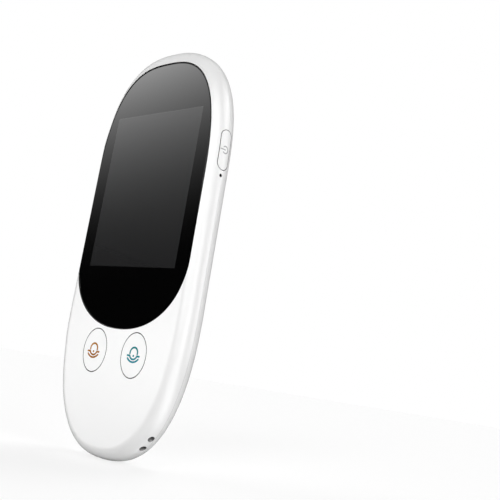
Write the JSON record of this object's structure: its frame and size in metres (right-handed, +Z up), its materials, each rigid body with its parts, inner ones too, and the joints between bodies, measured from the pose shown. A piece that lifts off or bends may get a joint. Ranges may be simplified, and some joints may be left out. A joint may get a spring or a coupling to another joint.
{
  "type": "handheld translator",
  "caption": "Slim handheld electronic translator: rounded shell, cover glass over a display, two oval talk buttons, side keys, and a speaker grille and camera on its back.",
  "frame": {"origin": "bottom centre of the upright device's bounding box", "axes": "+Z up along the device's length, +Y towards its back, +X to the right seen from the front"},
  "size_m": [0.0516, 0.0114, 0.126],
  "materials": {
    "shell": "fine matt",
    "button": "satin",
    "cover_glass": "polished, printed black at the back",
    "display": "unlit",
    "clear_bond": "clear",
    "orange_print": "printed",
    "teal_print": "printed",
    "grey_print": "printed",
    "adhesive": null,
    "backlight": "satin",
    "ribbon": null,
    "connector": null,
    "switch": null,
    "plunger": null,
    "board": "solder mask",
    "steel": null,
    "shield_can": "satin",
    "battery_foil": "satin foil",
    "speaker_cloth": "woven",
    "lens": "coated",
    "camera_window": "dark tint"
  },
  "bodies": {
    "housing": {"front_shell": "shell", "back_shell": "shell", "cover_glass": "cover_glass", "display_panel": "display", "optical_bond": "clear_bond", "glass_adhesive": "adhesive", "battery_pad": "adhesive", "speaker_gasket": "adhesive", "microphone_boot": "adhesive", "display_backlight": "backlight", "display_ribbon": "ribbon", "link_ribbon": "ribbon", "antenna": "ribbon", "display_connector": "connector", "link_connector": "connector", "battery_connector": "connector", "memory_chip": "connector", "power_chip": "connector", "usb_tongue": "connector", "camera_holder": "connector", "camera_barrel": "connector", "camera_mask": "connector", "talk_switch_left": "switch", "talk_switch_right": "switch", "power_switch": "switch", "volume_up_switch": "switch", "volume_down_switch": "switch", "side_microphone": "switch", "rocker_bracket": "switch", "lanyard_post": "plunger", "main_board": "board", "lower_board": "board", "board_screws": "steel", "rocker_pin": "steel", "speaker_magnet": "steel", "usb_shell": "steel", "processor_shield": "shield_can", "radio_shield": "shield_can", "speaker_frame": "shield_can", "battery": "battery_foil", "battery_tab": "battery_foil", "speaker_mesh": "speaker_cloth", "speaker_cone": "speaker_cloth", "camera_lens": "lens", "camera_window": "camera_window"},
    "talk_left": {"talk_button_left": "button", "talk_icon_left": "orange_print", "talk_plunger_left": "plunger"},
    "talk_right": {"talk_button_right": "button", "talk_icon_right": "teal_print", "talk_plunger_right": "plunger"},
    "power": {"power_key": "button", "power_icon": "grey_print", "power_plunger": "plunger"},
    "rocker": {"volume_rocker": "button", "volume_plus_mark": "grey_print", "volume_minus_mark": "grey_print"},
    "volume_up": {"volume_up_plunger": "plunger"},
    "volume_down": {"volume_down_plunger": "plunger"}
  },
  "joints": [
    {"name": "talk_left_press", "type": "slide", "parent": "housing", "child": "talk_left", "axis": [0, 1, 0], "range_m": [0, 0.00035], "stiffness_N_per_m": 2000, "springref_m": -0.0004},
    {"name": "talk_right_press", "type": "slide", "parent": "housing", "child": "talk_right", "axis": [0, 1, 0], "range_m": [0, 0.00035], "stiffness_N_per_m": 2000, "springref_m": -0.0004},
    {"name": "power_press", "type": "slide", "parent": "housing", "child": "power", "axis": [-1, 0, 0], "range_m": [0, 0.00035], "stiffness_N_per_m": 2000, "springref_m": -0.0004},
    {"name": "volume_rock", "type": "hinge", "parent": "housing", "child": "rocker", "pos_m": [-0.0212, -0.00115, 0.0849], "axis": [0, 1, 0], "range_deg": [-1.6, 1.6], "stiffness_Nm_per_rad": 0.256},
    {"name": "volume_up_press", "type": "slide", "parent": "housing", "child": "volume_up", "axis": [1, 0, 0], "range_m": [-0.00026, 0.00026]},
    {"name": "volume_down_press", "type": "slide", "parent": "housing", "child": "volume_down", "axis": [1, 0, 0], "range_m": [-0.00026, 0.00026]}
  ],
  "couplings": [
    {"joint": "volume_up_press", "follows": "volume_rock", "m_per_rad": 0.008},
    {"joint": "volume_down_press", "follows": "volume_rock", "m_per_rad": -0.008}
  ]
}
